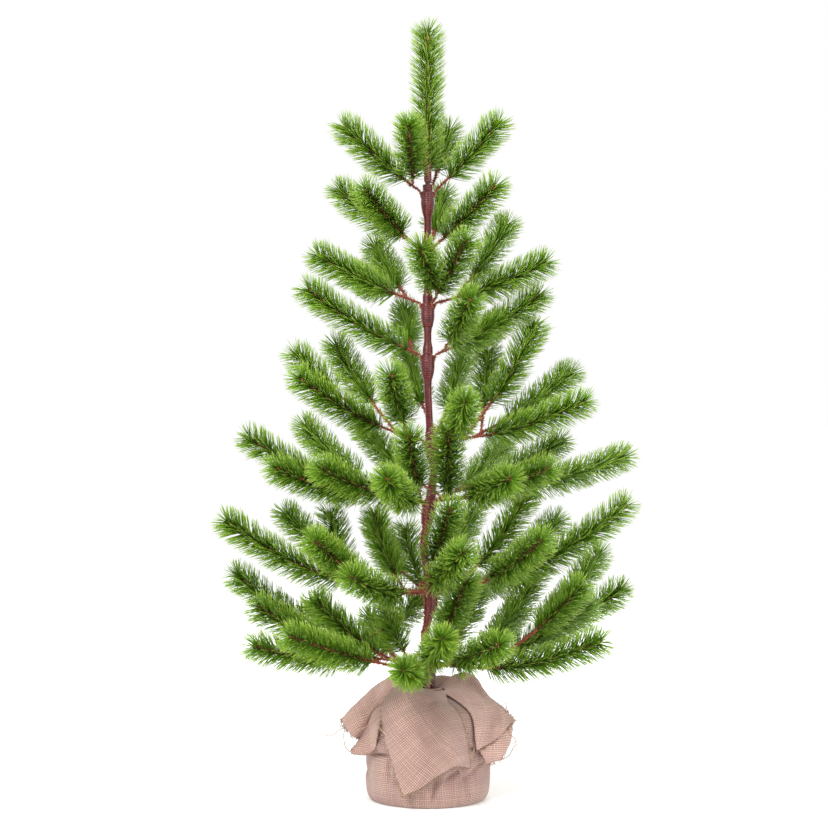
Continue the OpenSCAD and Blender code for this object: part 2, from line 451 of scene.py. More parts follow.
NEEDLES_PER_MM = 7.2
NEEDLE_MM = 27
NEEDLE_R = 0.53 * MM
NEEDLE_TILT, TILT_SPREAD = 54, 3.5  # degrees from the wire
START_MM, END_MM = 16, 14  # lengths at a brush's start and end in which its needles differ
SPIRAL_MM = 9.0  # the needles' helix makes one turn in this length
EARLY_MM = 9  # needles start this far before the frame's brush, which stands for where they are dense
BARE_MM = 60  # a wire that is bare for longer than this has needles that start earlier still
EARLY_SHARE = 0.35  # by this share of the length past BARE_MM
BARBS_PER_MM = 4.6
# The first range of shades is for barbs among needles, painted darker and greener for the shade inside a
# brush
PAINTED_SHADE_IN_BRUSH = (0, 3)  # barbs have shades from the first number up to, and not with, the second
IN_THE_OPEN = (4, SHADES)
TWIST_PITCH = 8 * MM
TWIST_OUT, TWIST_R = 0.28, 0.36  # a strand's distance out and radius, as shares of the twist's thickness
TWIST_SHADES = (5, 8)


def add_needles(shape, wire, rng):
    """A brush: needles in a loose two-start helix, leaning towards the wire's end."""
    earlier = EARLY_SHARE * max(0, wire.bare / MM - BARE_MM)
    low, high = wire.bare / MM - EARLY_MM - earlier, wire.length / MM
    count = int(NEEDLES_PER_MM * (high - low))
    s = rng.uniform(low, high, count)
    angle = 2 * math.pi * s / SPIRAL_MM + math.pi * rng.integers(0, 2, count) + rng.normal(0, 1.3, count)
    near_start = np.clip(1 - (s - low) / START_MM, 0, 1)
    near_end = np.clip(1 - (high - s) / END_MM, 0, 1)
    tilt = rng.normal(NEEDLE_TILT, TILT_SPREAD, count)
    tilt = tilt + 14 * near_start - rng.uniform(-12, 30, count) * near_end
    length = (NEEDLE_MM + rng.normal(0, 1.4, count)) * (1 - 0.22 * near_end) * (1 - 0.12 * near_start)
    ahead = wire.along(s * MM)
    out = wire.spokes(s * MM, angle)
    lean = np.radians(tilt)[:, None]
    direction = ahead * np.cos(lean) + out * np.sin(lean)
    bend = rng.normal(0, 0.25, (count, 3)) * MM + ahead * (rng.normal(0.8, 0.4, count) * MM)[:, None]
    shade = rng.integers(0, SHADES, count)
    radius = np.full(count, NEEDLE_R) * rng.uniform(0.8, 1.15, count)
    add_strands(shape, wire.at(s * MM), direction, length * MM, radius, bend, shade, taper=0.5)


def add_barbs(shape, middle, ahead, out, rng, shade=None):
    """Barbs: short trimmed needles that stand out from a wire. middle, ahead and out have a row for
    each one."""
    count = len(middle)
    tilt = np.radians(rng.uniform(30, 80, count))[:, None]
    direction = ahead * np.cos(tilt) + out * np.sin(tilt)
    bend = rng.normal(0, 0.4, (count, 3)) * MM
    radius = rng.uniform(0.5, 0.8, count) * MM
    length = rng.uniform(2.8, 5.2, count) * MM
    if shade is None:
        shade = rng.integers(*IN_THE_OPEN, count)
    add_strands(shape, middle, direction, length, radius, bend, shade, rings=(0.0,))


def add_twist(shape, middle, first, second, thick):
    """Two strands twisted round each other along a middle line, which first and second are square to."""
    s = np.concatenate([[0], np.cumsum(np.linalg.norm(np.diff(middle, axis=0), axis=1))])
    turn = 2 * math.pi * s / TWIST_PITCH
    for start, shade in zip((0, math.pi), TWIST_SHADES):
        out = first * np.cos(turn + start)[:, None] + second * np.sin(turn + start)[:, None]
        line = middle + out * thick * TWIST_OUT
        add_tube(shape, line, np.full(len(line), thick * TWIST_R), 5, shade)


def add_wire(shape, wire, rng):
    """Two strands twisted round each other, with barbs along them."""
    s = np.linspace(0, wire.length, max(4, int(wire.length / (1.3 * MM))))
    add_twist(shape, wire.at(s), wire.first, wire.second, wire.thick)
    count = int(BARBS_PER_MM * wire.length / MM)
    s = rng.uniform(2 * MM, wire.length, count)
    out = wire.spokes(s, rng.uniform(0, 2 * math.pi, count))
    # barbs inside a brush take the shades painted darker, for the brush's shade
    in_brush_shade = (s > wire.bare) & (s < wire.length - 5 * MM)
    shade = np.where(in_brush_shade, rng.integers(*PAINTED_SHADE_IN_BRUSH, count), rng.integers(*IN_THE_OPEN, count))
    add_barbs(shape, wire.at(s), wire.along(s), out, rng, shade)


# The tape round the leader's foot, as (height above the hinge, radius) in millimetres
FOOT_OUTLINE = [(-1.8, 3.2), (-0.5, 4.0), (1, 4.4), (14, 4.3), (24, 4.0), (31, 3.3), (34, 2.2)]
FOOT_BARBS = 200
FOOT_BARB_SPAN = (16 * MM, 38 * MM)


def make_leader_foot(wire, shape, rng):
    """Tape wound round the foot of the leader's wire, with barbs from its middle up."""
    heights, radii = np.array(FOOT_OUTLINE).T * MM
    s = np.arange(heights[0], heights[-1], RING_STEP)
    sides = 20
    groove = np.abs(np.sin(math.pi * (s[:, None] / TAPE_PITCH + np.arange(sides) / sides)))
    tape = Shape()
    add_tube(tape, wire.at(s), np.interp(s, heights, radii)[:, None] + 0.25 * MM * groove, sides)
    rosy = tape_plastic("rosy_tape", (0.30, 0.07, 0.065))
    piece("leader_foot_tape", tape.mesh("leader_foot_tape"), rosy, "leader")
    s = rng.uniform(*FOOT_BARB_SPAN, FOOT_BARBS)
    out = wire.spokes(s, rng.uniform(0, 2 * math.pi, FOOT_BARBS))
    add_barbs(shape, wire.at(s) + out * 2.6 * MM, wire.along(s), out, rng)


def make_branches(needles, plastic):
    """A brush and a stem for the leader and for each branch."""
    roots = {joint["child"]: np.array(joint["pos_m"]) for joint in frame["joints"]}
    for number, (body, root) in enumerate(sorted(roots.items())):
        rng = np.random.default_rng(100 + number)
        green, brown = Shape(), Shape()
        for wire in wires_of(body, root):
            add_needles(green, wire, rng)
            add_wire(brown, wire, rng)
            if body == "leader":
                make_leader_foot(wire, brown, rng)
        needles_node = body + "_needles"
        wires_node = body + ("_wire" if body == "leader" else "_wires")
        piece(body + "_brush", green.mesh(body + "_brush"), needles, body, [needles_node])
        piece(body + "_stem", brown.mesh(body + "_stem"), plastic, body, [wires_node])


# ---------------------------------------------------------------- trunk

TAPE_PITCH = 2.6 * MM  # width of tape that each turn leaves showing
RING_STEP = 0.5 * MM
TRUNK_R = 4.2 * MM
TAPE_SIDES = 28
TAPE_GROOVE = 0.08 * MM  # how far the tape's turns stand out
WINDING_GROOVE = 0.5 * MM  # and how far they do where the tape swells by more than WINDING_SWELL
WINDING_SWELL = 1 * MM
LONG_STEMS_TOP = 0.42  # below this height, branches' stems run a long way down beside the trunk
SHORT_STEM, LONG_STEM = 7 * MM, 62 * MM
STEM_TURN = 10 * MM  # the last length of a stem, in which it turns out to the branch
STEM_THICK = 2.7 * MM
STEM_BARBS_PER_MM = 3.0
FOOT_STRAND_TOP = 0.156


def tape_plastic(name, colour):
    """Glossy tape, blotched, with painted shade that darkens the dips between its turns."""
    made, tree, shader = new_material(name, 0.26, Coat_Weight=0.3, Coat_Roughness=0.12,
                                      Specular_IOR_Level=0.4)
    uv = add_node(tree, "UVMap", uv_map=BAKED_UV)
    split = add_node(tree, "SeparateXYZ")
    tree.links.new(uv.outputs["UV"], split.inputs["Vector"])
    place = add_node(tree, "TexCoord")
    height = add_node(tree, "SeparateXYZ")
    tree.links.new(place.outputs["Object"], height.inputs["Vector"])
    turns = math_node(tree, "ADD", math_node(tree, "DIVIDE", height.outputs["Z"], TAPE_PITCH),
                      math_node(tree, "MULTIPLY", split.outputs["X"], SHADES))
    # Painted shade: the colour falls to 0.3 at the edges of each turn, in the dips between turns.
    stops = [(0.0, (0.3, 0.3, 0.3)), (0.25, (1, 1, 1)), (0.8, (1, 1, 1)), (1.0, (0.3, 0.3, 0.3))]
    dips = ramp(tree, math_node(tree, "FRACT", turns), stops)
    noise = add_node(tree, "TexNoise")
    noise.inputs["Scale"].default_value = 220
    tree.links.new(place.outputs["Object"], noise.inputs["Vector"])
    dark = tuple(0.45 * c for c in colour)
    tone = ramp(tree, noise.outputs["Fac"], [(0.3, dark), (0.62, colour)])
    tree.links.new(multiply(tree, tone, dips), shader.inputs["Base Color"])
    return made


def trunk_axis():
    """Points up the middle of the trunk's tape, with its bends softened."""
    tape = solids("trunk_tape")[0]
    levels = np.unique(np.round(tape[:, 2], 4))
    centres = np.array([tape[np.abs(tape[:, 2] - z) < 0.1 * MM].mean(axis=0) for z in levels])
    z = np.arange(levels[0], levels[-1], RING_STEP)
    half = 24
    soften = np.hanning(2 * half + 1)
    points = np.empty((len(z), 3))
    for i in range(2):
        line = np.pad(np.interp(z, centres[:, 2], centres[:, i]), half, mode="edge")
        points[:, i] = np.convolve(line, soften / soften.sum(), mode="valid")
    points[:, 2] = z
    return points


def tape_radius(z, rng):
    """The tape's radius, with a row for each height and a column for each side of the trunk. It swells
    from the foot of each winding to its top, and stays a little wider just above it."""
    turn = np.arange(TAPE_SIDES) / TAPE_SIDES
    swell = np.zeros(len(z))
    for solid in solids("tier_windings"):
        low, high = solid[:, 2].min(), solid[:, 2].max()
        wide = np.ptp(solid[:, 1]) / 2
        rise = np.clip((z - low) / (0.62 * (high - low)), 0, 1)
        ease = rise * rise * (3 - 2 * rise)
        drop = np.clip((high + 1.5 * MM - z) / (2.5 * MM), 0, 1)
        rest = 1.3 * MM * np.clip((high + 16 * MM - z) / (8 * MM), 0, 1) * (z > high)
        swell = np.maximum(swell, np.maximum(ease * drop * (wide - TRUNK_R + 0.6 * MM), rest))
    swell = swell[:, None]
    place = z[:, None] / TAPE_PITCH + turn
    uneven = rng.normal(0, 0.12, int(place.max()) + 2)[np.floor(place).astype(int)]
    groove = np.abs(np.sin(math.pi * place)) ** 0.5
    depth = np.where(swell > WINDING_SWELL, WINDING_GROOVE, TAPE_GROOVE)
    return TRUNK_R + swell + depth * (groove + uneven)


def add_trunk_stem(shape, root, axis, radius, rng):
    """A twisted stem with barbs, from beside the trunk's tape up and out to the root of a branch."""
    z = axis[:, 2]
    depth = SHORT_STEM if root[2] > LONG_STEMS_TOP else LONG_STEM
    low = np.argmin(np.abs(z - (root[2] - depth)))
    row = np.argmin(np.abs(z - root[2]))
    out = unit((root - axis[row]) * [1, 1, 0])
    across = np.cross(out, UP)
    steps = np.linspace(0, 1, max(14, int(depth / (1.5 * MM))))
    rows = (low + (row - low) * steps).astype(int)
    reach = np.linalg.norm((root - axis[row])[:2])
    close = np.minimum(radius[rows].mean(axis=1) - 1.2 * MM, reach)
    turned = np.clip((steps - 1 + STEM_TURN / depth) / (STEM_TURN / depth), 0, 1) ** 1.5
    points = axis[rows] + out * (close + (reach - close) * turned)[:, None]
    points[:, 2] = root[2] - depth * (1 - steps)
    add_twist(shape, points, out, across, STEM_THICK)
    count = int(STEM_BARBS_PER_MM * depth / MM)
    pick = rng.uniform(0, 1, count)
    middle = np.stack([np.interp(pick, steps, points[:, i]) for i in range(3)], axis=1)
    angle = rng.uniform(-1.9, 1.9, count)[:, None]  # in radians, leaving out the side by the trunk
    spoke = out * np.cos(angle) + across * np.sin(angle)
    add_barbs(shape, middle, np.broadcast_to(UP, (count, 3)), spoke, rng)


def make_trunk(plastic):
    """The taped trunk, with thicker windings under the tiers, and a stem to each branch."""
    axis = trunk_axis()
    rng = np.random.default_rng(5)
    radius = tape_radius(axis[:, 2], rng)
    tape, stems = Shape(), Shape()
    add_tube(tape, axis, radius, TAPE_SIDES)
    plum = tape_plastic("plum_tape", (0.17, 0.02, 0.022))
    piece("trunk_tape_turns", tape.mesh("trunk_tape_turns"), plum, "trunk",
          ["trunk_tape", "tier_windings"])
    for joint in frame["joints"]:
        if joint["child"] != "leader":
            add_trunk_stem(stems, np.array(joint["pos_m"]), axis, radius, rng)
    piece("trunk_stems", stems.mesh("trunk_stems"), plastic, "trunk")


def add_foot_strand(shape, across, out, thick):
    """A taped strand beside the trunk's foot, with its place and radius in millimetres."""
    steps = np.arange(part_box("burlap_wrap")[1].z - 12 * MM, FOOT_STRAND_TOP, RING_STEP)
    sway = np.sin(steps * 90 + across) * 0.6 * MM
    points = np.stack([across * MM + sway, out * MM + 0 * steps, steps], axis=1)
    sides = 12
    turns = np.abs(np.sin(math.pi * (steps[:, None] / TAPE_PITCH + np.arange(sides) / sides)))
    add_tube(shape, points, thick * MM + 0.35 * MM * turns, sides)


def make_foot_strands():
    """Three taped strands at the trunk's foot: a pale one in front, and a dark one on each side."""
    front, beside = Shape(), Shape()
    add_foot_strand(front, 0.4, -6.0, 3.0)
    add_foot_strand(beside, -6.2, -3.5, 3.0)
    add_foot_strand(beside, 6.0, -3.0, 3.1)
    pale = tape_plastic("pale_tape", (0.42, 0.17, 0.17))
    dark = tape_plastic("dark_tape", (0.09, 0.018, 0.02))
    piece("trunk_foot_strand", front.mesh("trunk_foot_strand"), pale, "trunk")
    piece("trunk_foot_wires", beside.mesh("trunk_foot_wires"), dark, "trunk")


# ---------------------------------------------------------------- burlap

THREAD = 2.1 * MM  # distance between the burlap's threads
GRAIN = "grain"  # the UV layer that holds the cloth's flat coordinates, in metres


def burlap_cloth(name, light):
    """Plain weave of uneven jute threads, from the cloth's flat coordinates. light multiplies its
    colours."""
    made, tree, shader = new_material(name, 0.9, Sheen_Weight=0.25, Sheen_Roughness=0.6,
                                      Specular_IOR_Level=0.15)
    grain = add_node(tree, "UVMap", uv_map=GRAIN)
    wander = add_node(tree, "TexNoise")
    wander.inputs["Scale"].default_value = 90
    tree.links.new(grain.outputs["UV"], wander.inputs["Vector"])
    sway = add_node(tree, "SeparateXYZ")
    tree.links.new(wander.outputs["Color"], sway.inputs["Vector"])
    split = add_node(tree, "SeparateXYZ")
    tree.links.new(grain.outputs["UV"], split.inputs["Vector"])
    threads, profiles = [], []
    for axis in "XY":
        place = math_node(tree, "DIVIDE", split.outputs[axis], THREAD)
        place = math_node(tree, "ADD", place, math_node(tree, "MULTIPLY", sway.outputs[axis], 0.5))
        inside = math_node(tree, "FRACT", place)
        threads.append(math_node(tree, "FLOOR", place))
        profiles.append(math_node(tree, "SINE", math_node(tree, "MULTIPLY", inside, math.pi)))
    over = math_node(tree, "FLOORED_MODULO", math_node(tree, "ADD", *threads), 2)
    under = math_node(tree, "SUBTRACT", 1, over)
    parts, tones = [], []
    for mine, other, shown, seed in ((0, 1, over, 0), (1, 0, under, 77)):
        lift = math_node(tree, "ADD", math_node(tree, "MULTIPLY", profiles[other], 0.5), 0.5)
        bulge = math_node(tree, "MULTIPLY", profiles[mine], lift)
        parts.append(math_node(tree, "MULTIPLY", bulge, shown))
        noise = add_node(tree, "TexWhiteNoise", noise_dimensions="1D")
        tree.links.new(math_node(tree, "ADD", threads[mine], seed), noise.inputs["W"])
        tones.append(math_node(tree, "MULTIPLY", noise.outputs["Value"], shown))
    height = math_node(tree, "ADD", *parts)
    tone = math_node(tree, "ADD", *tones)
    fibre = add_node(tree, "TexNoise")
    fibre.inputs["Scale"].default_value = 25
    fibre.inputs["Detail"].default_value = 6
    tree.links.new(grain.outputs["UV"], fibre.inputs["Vector"])
    # Painted shade: the colour darkens with the weave's height towards the gaps and dips between
    # threads.
    stops = [(0.0, (0.15, 0.075, 0.065)), (0.35, (0.42, 0.26, 0.22)), (1.0, (0.70, 0.50, 0.45))]
    weave = ramp(tree, height, [(place, tuple(light * c for c in colour)) for place, colour in stops])
    thread_tone = ramp(tree, tone, [(0.0, (0.78, 0.76, 0.75)), (1.0, (1, 1, 1))])
    patches = ramp(tree, fibre.outputs["Fac"], [(0.35, (0.86, 0.80, 0.80)), (0.65, (1.0, 0.99, 0.93))])
    colour = multiply(tree, multiply(tree, weave, thread_tone), patches)
    tree.links.new(colour, shader.inputs["Base Color"])
    bump = add_node(tree, "Bump")
    bump.inputs["Strength"].default_value = 0.7
    bump.inputs["Distance"].default_value = 0.6 * MM
    tree.links.new(height, bump.inputs["Height"])
    tree.links.new(bump.outputs["Normal"], shader.inputs["Normal"])
    return made


def curve(points, count):
    """A smooth curve through points, as count points evenly spaced along it."""
    points = np.asarray(points, float)
    padded = np.concatenate([[2 * points[0] - points[1]], points, [2 * points[-1] - points[-2]]])
    pieces = []
    t = np.linspace(0, 1, 24, endpoint=False)[:, None]
    for a, b, c, d in zip(padded, padded[1:], padded[2:], padded[3:]):
        pieces.append(0.5 * (2 * b + (c - a) * t + (2 * a - 5 * b + 4 * c - d) * t ** 2
                             + (3 * b - a - 3 * c + d) * t ** 3))
    fine = np.concatenate(pieces + [points[-1:]])
    along = np.concatenate([[0], np.cumsum(np.linalg.norm(np.diff(fine, axis=0), axis=1))])
    even = np.linspace(0, along[-1], count)
    return np.stack([np.interp(even, along, fine[:, i]) for i in range(fine.shape[1])], axis=1)


def net_surface(net, across, down):
    """A smooth surface through rows of points, each row running across it."""
    rows = np.array([curve(row, across) for row in net])
    return np.stack([curve(rows[:, i], down) for i in range(across)], axis=1)


def normals_of(grid):
    """The direction square to a surface at each point of its grid."""
    down, across = np.gradient(grid, axis=(0, 1))
    return unit(np.cross(across, down))


def waves(x, y, rng, count, shortest, longest, height):
    """Smooth random ups and downs over a surface with coordinates x and y."""
    total = np.zeros(np.broadcast(x, y).shape)
    for _ in range(count):
        turn, phase = rng.uniform(0, 2 * math.pi, 2)
        span = rng.uniform(shortest, longest)
        total += np.cos(2 * math.pi * (x * math.cos(turn) + y * math.sin(turn)) / span + phase)
    return total * height / math.sqrt(count)


def grid_mesh(name, grid, flat_u, flat_v, wrap=False):
    """A mesh from a grid of points, with the cloth's flat coordinates in its grain layer. If it wraps,
    its last column joins its first, and the flat coordinates have one column more."""
    rows, columns = grid.shape[:2]
    last = columns if wrap else columns - 1
    a = np.arange(rows - 1)[:, None] * columns + np.arange(last)
    b = np.arange(rows - 1)[:, None] * columns + (np.arange(last) + 1) % columns
    faces = np.stack([a, b, b + columns, a + columns], axis=-1).reshape(-1, 4)
    mesh = bpy.data.meshes.new(name)
    mesh.from_pydata(grid.reshape(-1, 3).tolist(), [], faces.tolist())
    mesh.polygons.foreach_set("use_smooth", [True] * len(faces))
    flat = np.stack([flat_u, flat_v], axis=-1)
    corners = [flat[:-1, :last], flat[:-1, 1:last + 1], flat[1:, 1:last + 1], flat[1:, :last]]
    layer = mesh.uv_layers.new(name=GRAIN)
    layer.data.foreach_set("uv", np.stack(corners, axis=2).ravel())
    return mesh


def thicken(cloth, thickness):
    """Gives cloth a thickness, half of it on each side."""
    solid = cloth.modifiers.new("thickness", "SOLIDIFY")
    solid.thickness = thickness
    solid.offset = 0
    return cloth


# The bag's middle surface from the centre of its bottom to its mouth, as (radius, height) in millimetres
WRAP_OUTLINE = [
    (0.5, 0.8), (30, 0.8), (60, 0.8), (66.5, 2), (70, 8), (71.5, 20), (71.5, 34), (71.5, 50), (71.5, 62),
    (69.5, 84), (65.5, 98), (58, 106), (44, 112), (30, 117), (17, 121), (14.3, 124), (16.5, 128)
]
WRAP_R = 73  # the radius in millimetres at which lengths round the bag are measured
# Folds in the bag's side: heading in degrees, height, reach along and width in millimetres, slope, and
# depth in millimetres. A fold of less than no depth is a ridge.
WRAP_FOLDS = [
    (222, 58, 26, 2.2, 0.06, 7.6), (218, 66, 24, 6, 0.1, -4.75), (275, 20, 4, 16, 3.5, 4.94),
    (282, 26, 5, 14, 3.0, -3.04), (300, 44, 22, 3, 0.5, 4.18), (240, 30, 20, 3, -0.4, 3.42),
    (330, 62, 26, 3, -0.2, 6.08), (20, 50, 30, 4, 0.15, 5.7), (232, 42, 5, 16, 2.5, 3.42),
    (250, 26, 5, 12, -2.0, 2.85), (306, 26, 6, 14, -2.4, 3.23), (318, 40, 18, 3, 0.4, 3.8),
    (75, 60, 34, 3, -0.1, 6.46), (110, 35, 26, 4, 0.3, 4.56), (150, 64, 30, 3, 0.12, 6.46),
    (175, 36, 24, 4, -0.3, 4.56)
]
BAG_THICK, FLAP_THICK = 1.2 * MM, 1.1 * MM


def make_wrap(cloth):
    """The bag round the base, with slack folds on its side and gathers at its neck."""
    rng = np.random.default_rng(7)
    down, around = 150, 360
    outline = curve(WRAP_OUTLINE, down)
    radius, height = outline[:, 0][:, None], outline[:, 1][:, None]
    turn = 2 * math.pi * np.arange(around) / around
    x, y = WRAP_R * np.cos(turn), WRAP_R * np.sin(turn)
    side = np.clip(height / 14, 0, 1) * np.clip((124 - height) / 20, 0, 1)
    slack = waves(x, y + 0.6 * height, rng, 7, 45, 90, 1.0)
    slack += waves(x + 0.5 * height, y, rng, 6, 22, 40, 0.35)
    gather = np.clip((height - 70) / 50, 0, 1) ** 1.3
    pleats = gather * 2.6 * np.cos(17 * turn + 0.8 * np.sin(3 * turn))
    pleats *= np.clip((height < 122) + 0.3, 0, 1)  # they are slighter above the tie
    folds = np.zeros_like(slack)
    for heading, level, reach, width, slope, depth in WRAP_FOLDS:
        off = (turn - math.radians(heading) + math.pi) % (2 * math.pi) - math.pi
        along = off * WRAP_R
        across = height - level - slope * along
        folds -= depth * np.exp(-((along / reach) ** 2) - (across / width) ** 2)
    more = side * (slack + folds) + pleats * np.clip(radius / 40, 0.1, 1)
    r = radius + more
    grid = np.stack([r * np.cos(turn), r * np.sin(turn), height + 0 * turn], axis=-1) * MM
    along = np.concatenate([[0], np.cumsum(np.linalg.norm(np.diff(outline, axis=0), axis=1))]) * MM
    ring = np.append(turn, 2 * math.pi) * WRAP_R * MM
    flat_u = np.broadcast_to(ring, (down, around + 1))
    flat_v = np.broadcast_to(along[:, None], (down, around + 1))
    mesh = grid_mesh("burlap_bag", grid, flat_u, flat_v, wrap=True)
    made = piece("burlap_bag", mesh, cloth, "trunk", ["burlap_wrap"])
    thicken(made, BAG_THICK)


# The folded corners: rows of points (x, y, z) in millimetres from the neck to the free edge, each row
# running from one side of the corner to the other. flat is the cloth's flat width and length in metres,
# and grain is the angle in degrees that its weave is turned by.
FLAPS = {
    "front": {
        "net": [
            [(-15, -12, 124), (-9, -17, 124), (0, -19, 124), (8, -17, 124), (15, -12, 124)],
            [(-34, -24, 132), (-20, -32, 133), (-7, -34, 131), (6, -34, 128), (20, -28, 124)],
            [(-45, -34, 127), (-28, -45, 130), (-9, -50, 127), (7, -50, 122), (24, -42, 114)],
            [(-53, -50, 108), (-36, -62, 111), (-14, -70, 109), (3, -65, 105), (20, -70, 103),
             (37, -58, 98)],
            [(-49, -62, 81), (-32, -74, 83), (-12, -80, 83), (2, -75, 80), (22, -84, 80), (43, -68, 77)],
            [(-41, -69, 55), (-27, -77, 57), (-10, -82, 58), (6, -79, 57), (28, -90, 62), (47, -73, 53)],
            [(-36, -72, 38), (-22, -78, 42), (-6, -81, 46), (10, -82, 51), (29, -93, 57), (47, -73, 50)],
            [(-28, -77, 17), (-10, -79, 25), (6, -80, 37), (21, -86, 47), (33, -92, 53), (46, -74, 48)],
        ],
        "flat": (0.085, 0.150), "grain": 24,
    },
    "left": {
        "net": [
            [(-12, 12, 125), (-16, 8, 126), (-19, 2, 127), (-19, -3, 126), (-18, -7, 125),
             (-16, -11, 124)],
            [(-30, 26, 130), (-37, 14, 137), (-38, -2, 139), (-33, -16, 132), (-32, -20, 126),
             (-34, -26, 122), (-40, -34, 118)],
            [(-48, 26, 118), (-58, 12, 129), (-58, -4, 129), (-50, -18, 120), (-46, -18, 112),
             (-47, -28, 104), (-52, -42, 90)],
            [(-66, 22, 100), (-76, 6, 114), (-76, -10, 112), (-67, -24, 102), (-61, -18, 96),
             (-60, -32, 84), (-60, -47, 66)],
            [(-80, 12, 84), (-90, -2, 101), (-90, -16, 99), (-80, -28, 87), (-73, -20, 82),
             (-71, -32, 70), (-70, -42, 58)],
            [(-87, 6, 78), (-98, -4, 93), (-98, -18, 89), (-86, -30, 76), (-79, -22, 73),
             (-84, -32, 66), (-87, -34, 58), (-80, -38, 56)],
        ],
        "flat": (0.090, 0.110), "grain": -12,
    },
    "right": {
        "net": [
            [(12, 12, 125), (17, 6, 126), (19, 0, 126), (18, -6, 125), (15, -12, 124)],
            [(32, 24, 140), (38, 12, 132), (39, -2, 126), (36, -14, 122), (28, -22, 117)],
            [(52, 24, 140), (58, 8, 124), (58, -8, 117), (52, -24, 111), (42, -37, 103)],
            [(66, 20, 122), (71, 6, 114), (70, -10, 107), (62, -28, 99), (48, -44, 90)],
            [(82, 12, 107), (85, 0, 102), (82, -16, 94), (72, -32, 84), (52, -50, 78)],
            [(102, -2, 90), (95, -12, 87), (86, -26, 79), (74, -40, 72), (55, -54, 64)],
        ],
        "flat": (0.075, 0.110), "grain": 30,
    },
    "right_under": {
        "net": [
            [(88, 4, 94), (86, -12, 88), (78, -26, 80), (66, -38, 74), (54, -46, 68)],
            [(97, -4, 84), (92, -18, 79), (82, -32, 72), (72, -42, 66), (60, -50, 60)],
            [(96, -8, 74), (93, -22, 66), (85, -33, 60), (74, -42, 56), (64, -48, 53)],
            [(91, -14, 62), (89, -24, 55), (83, -33, 50), (75, -39, 48), (67, -44, 47)],
        ],
        "flat": (0.068, 0.030), "grain": 20,
    },
    "back": {
        "net": [
            [(15, 12, 124), (8, 17, 124), (0, 19, 124), (-8, 17, 124), (-15, 12, 124)],
            [(38, 30, 133), (20, 42, 136), (0, 46, 134), (-18, 42, 134), (-36, 30, 131)],
            [(47, 52, 112), (26, 66, 115), (2, 70, 112), (-20, 66, 113), (-48, 50, 110)],
            [(48, 62, 86), (26, 76, 88), (4, 74, 86), (-20, 80, 86), (-50, 60, 82)],
            [(36, 72, 56), (18, 80, 58), (0, 78, 60), (-20, 86, 64), (-42, 68, 56)],
            [(20, 78, 28), (8, 82, 34), (-4, 82, 40), (-20, 88, 48), (-34, 76, 46)],
        ],
        "flat": (0.085, 0.150), "grain": 24,
    },
}
# The edges of each corner that have loose thread ends
FRAYED = {"front": ("left", "right", "bottom"), "left": ("right", "bottom"), "right": ("left", "bottom"),
          "right_under": ("bottom", "left"), "back": ("left", "right", "bottom")}
CLEAR_MM = 3.2  # least distance between the bag's middle surface and that of a folded corner
CLEAR_SOFT_MM = 1.5  # how softly cloth is moved out to it


def clear_of_bag(grid):
    """Moves cloth that lies in the bag, or too near it, out to CLEAR_MM from the bag's outline."""
    outline = curve(WRAP_OUTLINE, 300)
    ahead = unit(np.gradient(outline, axis=0))
    outward = np.stack([ahead[:, 1], -ahead[:, 0]], axis=1)
    radius = np.linalg.norm(grid[..., :2], axis=-1)
    spot = np.stack([radius, grid[..., 2]], axis=-1)
    gap = spot[:, :, None] - outline
    nearest = np.argmin(np.sum(gap ** 2, axis=-1), axis=-1)
    normal = outward[nearest]
    out = np.sum((spot - outline[nearest]) * normal, axis=-1)
    push = CLEAR_SOFT_MM * np.log1p(np.exp(np.clip((CLEAR_MM - out) / CLEAR_SOFT_MM, -30, 30)))
    moved = spot + normal * push[..., None]
    made = grid.copy()
    made[..., :2] *= (moved[..., 0] / np.maximum(radius, 1))[..., None]
    made[..., 2] = moved[..., 1]
    return made


def make_flap(name, facts, cloth, fringe, rng):
    """One folded corner, with small random waves and with thread ends added to the fringe."""
    across, down = 80, 110
    grid = net_surface(facts["net"], across, down)
    u = np.linspace(0, 1, across)[None, :]
    v = np.linspace(0, 1, down)[:, None]
    width, length = facts["flat"]
    free = np.clip(v / 0.25, 0, 1)
    lift = free * waves(u * width, v * length, rng, 6, 0.025, 0.06, 0.8)
    lift += free * waves(u * width, v * length, rng, 5, 0.010, 0.02, 0.22)
    out = normals_of(grid)
    grid = clear_of_bag(grid + out * lift[..., None]) * MM
    turn = math.radians(facts["grain"])
    flat_u = u * width * math.cos(turn) - v * length * math.sin(turn)
    flat_v = u * width * math.sin(turn) + v * length * math.cos(turn)
    mesh = grid_mesh("burlap_flap_" + name, grid, flat_u, flat_v)
    nodes = ["burlap_corners"] if name == "front" else []
    made = thicken(piece("burlap_flap_" + name, mesh, cloth, "trunk", nodes), FLAP_THICK)
    for edge in FRAYED[name]:
        add_fringe(fringe, edge, grid, rng)
    return made


FRAY_ROW = 35  # the row of a corner's grid at which its sides start to fray
FRAY_MM = 0.6  # distance between thread ends


def add_fringe(shape, edge, grid, rng):
    """Short loose thread ends along one edge of a corner's grid. They point away from the inside."""
    lower = grid[FRAY_ROW:]
    rim, inner = {
        "left": (lower[:, 0], lower[:, 4]),
        "right": (lower[:, -1], lower[:, -5]),
        "bottom": (grid[-1], grid[-5]),
    }[edge]
    along = np.concatenate([[0], np.cumsum(np.linalg.norm(np.diff(rim, axis=0), axis=1))])
    count = int(along[-1] / (FRAY_MM * MM))
    s = np.sort(rng.uniform(0, along[-1], count))
    base = np.stack([np.interp(s, along, rim[:, i]) for i in range(3)], axis=1)
    back = np.stack([np.interp(s, along, inner[:, i]) for i in range(3)], axis=1)
    direction = unit(unit(base - back) + rng.normal(0, 0.3, (count, 3)))
    length = rng.gamma(2.0, 1.0, count) * MM + 0.8 * MM
    bend = rng.normal(0, 0.8, (count, 3)) * MM
    radius = rng.uniform(0.3, 0.5, count) * MM
    shade = rng.integers(0, SHADES, count)
    add_strands(shape, base - direction * MM, direction, length + MM, radius, bend, shade)


